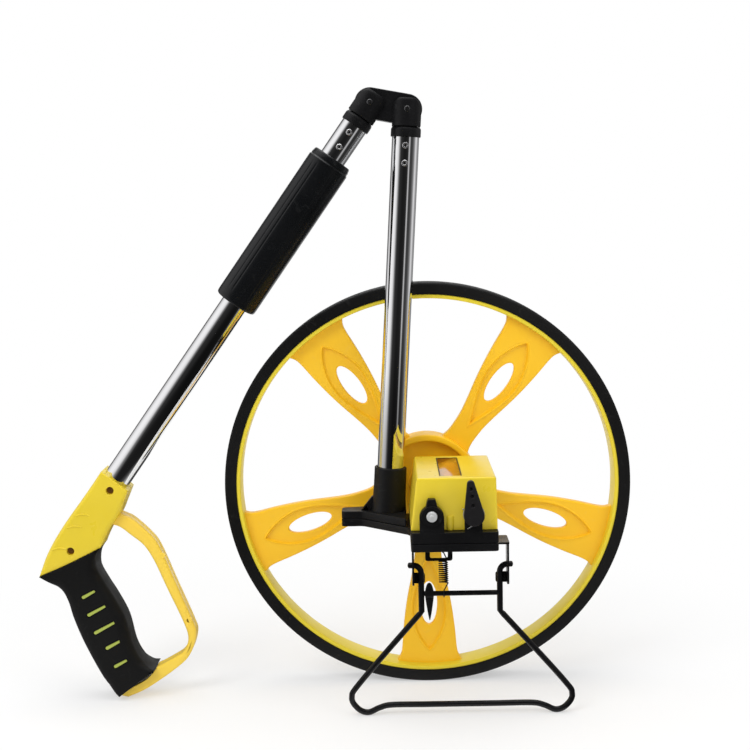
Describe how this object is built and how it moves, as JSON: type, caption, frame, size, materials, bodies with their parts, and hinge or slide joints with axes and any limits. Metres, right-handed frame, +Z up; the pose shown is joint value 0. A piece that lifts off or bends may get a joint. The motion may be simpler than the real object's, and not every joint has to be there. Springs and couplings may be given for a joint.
{
  "type": "measuring wheel",
  "caption": "Folding distance measuring wheel on a wire stand, with a counter box, a folded tubular handle, a lock sleeve and a guarded pistol grip.",
  "frame": {"origin": "on the floor, below the middle of the object's box as it stands folded on its stand", "axes": "+Z up; +Y from the stand and the counter's front towards the wheel, along the wheel's axle; +X to the right as seen from the counter's front, away from the folded handle"},
  "size_m": [0.4592, 0.1442, 0.4646],
  "materials": {
    "wheel_yellow": "satin moulded",
    "lemon_plastic": "satin moulded",
    "black_plastic": "fine grain moulded",
    "tyre": "matte",
    "grip_rubber": "matte",
    "chrome_tube": "polished plating",
    "steel": "zinc plated",
    "black_wire": "gloss powder coat",
    "nylon": "moulded",
    "amber_window": "clear tinted"
  },
  "bodies": {
    "base": {"base_plate": "black_plastic", "base_frame": "black_plastic", "tube_socket": "black_plastic", "base_screw_1": "steel", "base_screw_2": "steel", "base_screw_3": "steel", "base_screw_4": "steel", "socket_screw_1": "steel", "socket_screw_2": "steel", "bush_front": "black_plastic", "bush_rear": "black_plastic", "counter_cover": "lemon_plastic", "counter_window": "amber_window", "counter_carrier": "steel", "drum_shaft": "steel", "lever_spring": "steel", "lower_tube": "chrome_tube", "lower_fork": "black_plastic", "lower_rivet_1": "steel", "lower_rivet_2": "steel", "lower_pin": "steel", "stand_bracket": "black_wire", "bracket_screw_1": "steel", "bracket_screw_2": "steel", "stand_spring": "steel"},
    "rolling_wheel": {"wheel": "wheel_yellow", "tyre": "tyre", "axle": "steel", "axle_washer": "steel", "axle_nut": "steel", "drive_gear": "nylon"},
    "drum_1": {"digit_drum_1": "nylon"},
    "drum_2": {"digit_drum_2": "nylon"},
    "drum_3": {"digit_drum_3": "nylon"},
    "drum_4": {"digit_drum_4": "nylon"},
    "drum_5": {"digit_drum_5": "nylon", "drum_gear": "nylon"},
    "reset": {"reset_lever": "black_plastic", "reset_shaft": "steel", "reset_comb": "nylon"},
    "fold_link": {"link": "black_plastic"},
    "handle": {"upper_tube": "chrome_tube", "upper_fork": "black_plastic", "upper_rivet_1": "steel", "upper_rivet_2": "steel", "upper_pin": "steel", "handle_front": "lemon_plastic", "handle_back": "lemon_plastic", "grip": "grip_rubber", "handle_screw_1": "steel", "handle_screw_2": "steel", "handle_screw_3": "steel", "handle_screw_4": "steel"},
    "sleeve": {"lock_sleeve": "black_plastic"},
    "stand": {"stand_bail": "black_wire", "stand_crossbar": "black_wire"},
    "stand_pointer": {"pointer": "black_plastic"}
  },
  "joints": [
    {"name": "wheel_spin", "type": "hinge", "parent": "base", "child": "rolling_wheel", "pos_m": [0.07041, 0.05215, 0.15915], "axis": [0, 1, 0], "continuous": true},
    {"name": "drum_5_spin", "type": "hinge", "parent": "base", "child": "drum_5", "pos_m": [0.08471, 0.05215, 0.17175], "axis": [0, 1, 0], "continuous": true},
    {"name": "drum_4_spin", "type": "hinge", "parent": "base", "child": "drum_4", "pos_m": [0.08471, 0.05215, 0.17175], "axis": [0, 1, 0], "continuous": true},
    {"name": "drum_3_spin", "type": "hinge", "parent": "base", "child": "drum_3", "pos_m": [0.08471, 0.05215, 0.17175], "axis": [0, 1, 0], "continuous": true},
    {"name": "drum_2_spin", "type": "hinge", "parent": "base", "child": "drum_2", "pos_m": [0.08471, 0.05215, 0.17175], "axis": [0, 1, 0], "continuous": true},
    {"name": "drum_1_spin", "type": "hinge", "parent": "base", "child": "drum_1", "pos_m": [0.08471, 0.05215, 0.17175], "axis": [0, 1, 0], "continuous": true},
    {"name": "reset_press", "type": "hinge", "parent": "base", "child": "reset", "pos_m": [0.09981, 0.05215, 0.16065], "axis": [0, 1, 0], "range_deg": [0, 40], "stiffness_Nm_per_rad": 0.1, "springref_deg": -17.19},
    {"name": "link_fold", "type": "hinge", "parent": "base", "child": "fold_link", "pos_m": [0.0592, 0.02215, 0.44734], "axis": [0, -1, 0], "range_deg": [-82.7, 4]},
    {"name": "handle_fold", "type": "hinge", "parent": "fold_link", "child": "handle", "pos_m": [0.03181, 0.02215, 0.45266], "axis": [0, -1, 0], "range_deg": [-65.3, 18]},
    {"name": "sleeve_slide", "type": "slide", "parent": "handle", "child": "sleeve", "axis": [-0.583, 0, -0.8125], "range_m": [-0.036, 0.16]},
    {"name": "stand_fold", "type": "hinge", "parent": "base", "child": "stand", "pos_m": [0.09181, -0.02785, 0.11416], "axis": [-1, 0, 0], "range_deg": [0, 105], "deforming": ["stand_spring"]},
    {"name": "pointer_swing", "type": "hinge", "parent": "stand", "child": "stand_pointer", "pos_m": [0.06881, -0.02785, 0.09266], "axis": [1, 0, 0], "range_deg": [-80, 80]}
  ],
  "couplings": [
    {"joint": "drum_5_spin", "follows": "wheel_spin", "ratio": -1},
    {"joint": "drum_4_spin", "follows": "wheel_spin", "ratio": -0.1},
    {"joint": "drum_3_spin", "follows": "wheel_spin", "ratio": -0.01},
    {"joint": "drum_2_spin", "follows": "wheel_spin", "ratio": -0.001},
    {"joint": "drum_1_spin", "follows": "wheel_spin", "ratio": -0.0001}
  ]
}
